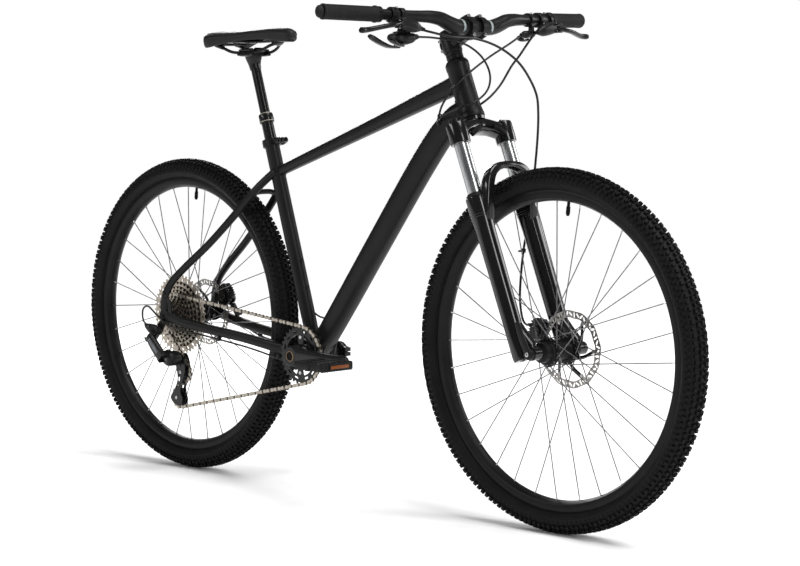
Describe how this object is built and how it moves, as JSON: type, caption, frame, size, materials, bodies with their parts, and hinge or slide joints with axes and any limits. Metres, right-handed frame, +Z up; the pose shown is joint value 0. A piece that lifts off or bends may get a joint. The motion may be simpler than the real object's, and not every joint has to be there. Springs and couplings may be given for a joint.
{
  "type": "mountain bike",
  "caption": "Hardtail mountain bike with a suspension fork, disc brakes, rear derailleur drivetrain, dropper seatpost, flat bar and knobbly tyres.",
  "frame": {"origin": "on the ground, midway between the two wheel axles, in the bike's middle plane", "axes": "+X forwards along the wheelbase, +Y to the rider's left, +Z up"},
  "size_m": [1.902, 0.783, 1.0635],
  "materials": {
    "frame_paint": "satin black paint",
    "fork_paint": "gloss black paint",
    "caliper_paint": "gloss black enamel",
    "bar_alloy": "satin black anodised",
    "rim_alloy": "black anodised",
    "crank_alloy": "gloss black anodised",
    "stanchion_chrome": "polished hard chrome",
    "slider_alloy": "smooth black anodised",
    "rotor_steel": "brushed stainless",
    "spoke_steel": "drawn stainless",
    "cog_nickel": "satin nickel plate",
    "tyre_rubber": "matt black rubber",
    "grip_rubber": "ribbed black rubber",
    "hose_plastic": "black hose sleeve",
    "control_plastic": "moulded black plastic",
    "pedal_plastic": "moulded black plastic",
    "saddle_skin": "black grained saddle cover",
    "saddle_shell": "black moulded shell"
  },
  "bodies": {
    "frame": {"frame": "frame_paint", "bottom_bracket": "bar_alloy", "seat_clamp": "bar_alloy", "rear_axle": "bar_alloy", "rear_brake_caliper": "caliper_paint", "chain": "cog_nickel", "shift_cable": "hose_plastic", "dropper_cable": "hose_plastic", "rear_brake_hose": "hose_plastic"},
    "seat_clamp_lever": {"seat_clamp_lever": "bar_alloy"},
    "seatpost": {"seatpost_outer": "bar_alloy"},
    "saddle": {"seatpost_slider": "slider_alloy", "saddle_rails": "bar_alloy", "saddle_base": "saddle_shell", "saddle_pad": "saddle_skin"},
    "fork_upper": {"fork_crown": "fork_paint", "stanchion_right": "stanchion_chrome", "stanchion_left": "stanchion_chrome", "headset_spacers": "bar_alloy", "stem": "bar_alloy", "stem_faceplate": "bar_alloy", "handlebar": "bar_alloy", "grip_right": "grip_rubber", "grip_left": "grip_rubber", "brake_perch_right": "control_plastic", "brake_perch_left": "control_plastic", "shifter_body": "control_plastic", "dropper_remote_body": "bar_alloy", "front_brake_hose": "hose_plastic"},
    "lockout_knob": {"lockout_knob": "control_plastic"},
    "brake_lever_right": {"brake_lever_right": "bar_alloy"},
    "brake_lever_left": {"brake_lever_left": "bar_alloy"},
    "shift_lever_main": {"shift_lever_main": "control_plastic"},
    "shift_lever_release": {"shift_lever_release": "control_plastic"},
    "dropper_remote_lever": {"dropper_remote_lever": "bar_alloy"},
    "fork_lower": {"fork_lowers": "fork_paint", "front_brake_caliper": "caliper_paint"},
    "front_axle": {"front_axle": "bar_alloy"},
    "front_wheel": {"front_tyre": "tyre_rubber", "front_rim": "rim_alloy", "front_spokes": "spoke_steel", "front_hub": "rim_alloy", "front_rotor": "rotor_steel"},
    "rear_wheel": {"rear_tyre": "tyre_rubber", "rear_rim": "rim_alloy", "rear_spokes": "spoke_steel", "rear_hub": "rim_alloy", "rear_rotor": "rotor_steel"},
    "cassette": {"cassette": "cog_nickel"},
    "crank": {"crank_arm_right": "crank_alloy", "crank_arm_left": "crank_alloy", "chainring": "crank_alloy"},
    "pedal_right": {"pedal_right": "pedal_plastic"},
    "pedal_left": {"pedal_left": "pedal_plastic"},
    "derailleur_body": {"derailleur_body": "control_plastic"},
    "derailleur_link": {"derailleur_link": "crank_alloy"},
    "derailleur_knuckle": {"derailleur_knuckle": "control_plastic"},
    "derailleur_cage": {"derailleur_cage": "crank_alloy"},
    "guide_pulley": {"guide_pulley": "control_plastic"},
    "tension_pulley": {"tension_pulley": "control_plastic"}
  },
  "joints": [
    {"name": "steering", "type": "hinge", "parent": "frame", "child": "fork_upper", "pos_m": [0.3475, 0, 0.8358], "axis": [-0.3665, 0, 0.9304], "range_deg": [-45, 45], "deforming": ["shift_cable", "dropper_cable", "rear_brake_hose", "front_brake_hose"]},
    {"name": "fork_travel", "type": "slide", "parent": "fork_upper", "child": "fork_lower", "axis": [-0.3665, 0, 0.9304], "range_m": [0, 0.08], "stiffness_N_per_m": 9000, "springref_m": -0.02, "deforming": ["front_brake_hose"]},
    {"name": "front_wheel_spin", "type": "hinge", "parent": "fork_lower", "child": "front_wheel", "pos_m": [0.581, 0, 0.37], "axis": [0, 1, 0], "continuous": true},
    {"name": "front_axle_turn", "type": "hinge", "parent": "fork_lower", "child": "front_axle", "pos_m": [0.581, -0.088, 0.37], "axis": [0, -1, 0], "range_deg": [0, 180]},
    {"name": "rear_wheel_spin", "type": "hinge", "parent": "frame", "child": "rear_wheel", "pos_m": [-0.581, 0, 0.37], "axis": [0, 1, 0], "continuous": true},
    {"name": "cassette_spin", "type": "hinge", "parent": "frame", "child": "cassette", "pos_m": [-0.581, -0.05, 0.37], "axis": [0, 1, 0], "continuous": true},
    {"name": "crank_spin", "type": "hinge", "parent": "frame", "child": "crank", "pos_m": [-0.136, 0, 0.3085], "axis": [0, 1, 0], "continuous": true},
    {"name": "pedal_right_spin", "type": "hinge", "parent": "crank", "child": "pedal_right", "pos_m": [0.039, -0.141, 0.3085], "axis": [0, 1, 0], "continuous": true},
    {"name": "pedal_left_spin", "type": "hinge", "parent": "crank", "child": "pedal_left", "pos_m": [-0.311, 0.141, 0.3085], "axis": [0, 1, 0], "continuous": true},
    {"name": "derailleur_pivot", "type": "hinge", "parent": "frame", "child": "derailleur_body", "pos_m": [-0.601, -0.09, 0.334], "axis": [0, 1, 0], "range_deg": [0, 20], "stiffness_Nm_per_rad": 2, "springref_deg": -17.19, "deforming": ["shift_cable", "chain"]},
    {"name": "derailleur_link_swing", "type": "hinge", "parent": "derailleur_body", "child": "derailleur_link", "pos_m": [-0.606, -0.106, 0.322], "axis": [0.7071, 0, 0.7071], "range_deg": [-18, 12], "deforming": ["chain"]},
    {"name": "derailleur_knuckle_swing", "type": "hinge", "parent": "derailleur_link", "child": "derailleur_knuckle", "pos_m": [-0.56, -0.106, 0.276], "axis": [0.7071, 0, 0.7071], "range_deg": [-12, 18], "deforming": ["chain"]},
    {"name": "derailleur_cage_swing", "type": "hinge", "parent": "derailleur_knuckle", "child": "derailleur_cage", "pos_m": [-0.555, -0.058, 0.27], "axis": [0, -1, 0], "range_deg": [-15, 40], "stiffness_Nm_per_rad": 1.5, "deforming": ["chain"]},
    {"name": "guide_pulley_spin", "type": "hinge", "parent": "derailleur_cage", "child": "guide_pulley", "pos_m": [-0.55, -0.0472, 0.236], "axis": [0, 1, 0], "continuous": true},
    {"name": "tension_pulley_spin", "type": "hinge", "parent": "derailleur_cage", "child": "tension_pulley", "pos_m": [-0.566, -0.0472, 0.174], "axis": [0, 1, 0], "continuous": true},
    {"name": "seatpost_height", "type": "slide", "parent": "frame", "child": "seatpost", "axis": [-0.2957, 0, 0.9553], "range_m": [-0.035, 0.05], "deforming": ["dropper_cable"]},
    {"name": "dropper_travel", "type": "slide", "parent": "seatpost", "child": "saddle", "axis": [0.2957, 0, -0.9553], "range_m": [0, 0.1]},
    {"name": "seat_clamp_lever_open", "type": "hinge", "parent": "frame", "child": "seat_clamp_lever", "pos_m": [-0.24871, 0.013, 0.7876], "axis": [0.2957, 0, -0.9553], "range_deg": [0, 120]},
    {"name": "lockout_turn", "type": "hinge", "parent": "fork_upper", "child": "lockout_knob", "pos_m": [0.36233, -0.069, 0.83089], "axis": [-0.3665, 0, 0.9304], "range_deg": [0, 90]},
    {"name": "brake_lever_right_pull", "type": "hinge", "parent": "fork_upper", "child": "brake_lever_right", "pos_m": [0.371, -0.2345, 1.026], "axis": [0, 0, -1], "range_deg": [0, 14], "stiffness_Nm_per_rad": 1, "springref_deg": -8.59},
    {"name": "brake_lever_left_pull", "type": "hinge", "parent": "fork_upper", "child": "brake_lever_left", "pos_m": [0.371, 0.2345, 1.026], "axis": [0, 0, 1], "range_deg": [0, 14], "stiffness_Nm_per_rad": 1, "springref_deg": -8.59},
    {"name": "shift_lever_main_push", "type": "hinge", "parent": "fork_upper", "child": "shift_lever_main", "pos_m": [0.332, -0.206, 0.9795], "axis": [0, 0, 1], "range_deg": [0, 22], "stiffness_Nm_per_rad": 0.4, "springref_deg": -11.46},
    {"name": "shift_lever_release_push", "type": "hinge", "parent": "fork_upper", "child": "shift_lever_release", "pos_m": [0.356, -0.214, 0.9815], "axis": [0, 0, 1], "range_deg": [0, 12], "stiffness_Nm_per_rad": 0.3, "springref_deg": -11.46},
    {"name": "dropper_remote_lever_push", "type": "hinge", "parent": "fork_upper", "child": "dropper_remote_lever", "pos_m": [0.345, 0.17, 1.0005], "axis": [0, 0, -1], "range_deg": [0, 20], "stiffness_Nm_per_rad": 0.4, "springref_deg": -11.46}
  ],
  "couplings": [
    {"joint": "cassette_spin", "follows": "crank_spin", "ratio": 1.3333},
    {"joint": "guide_pulley_spin", "follows": "crank_spin", "ratio": -2.6667},
    {"joint": "tension_pulley_spin", "follows": "crank_spin", "ratio": 2.6667},
    {"joint": "derailleur_knuckle_swing", "follows": "derailleur_link_swing", "ratio": -1}
  ]
}
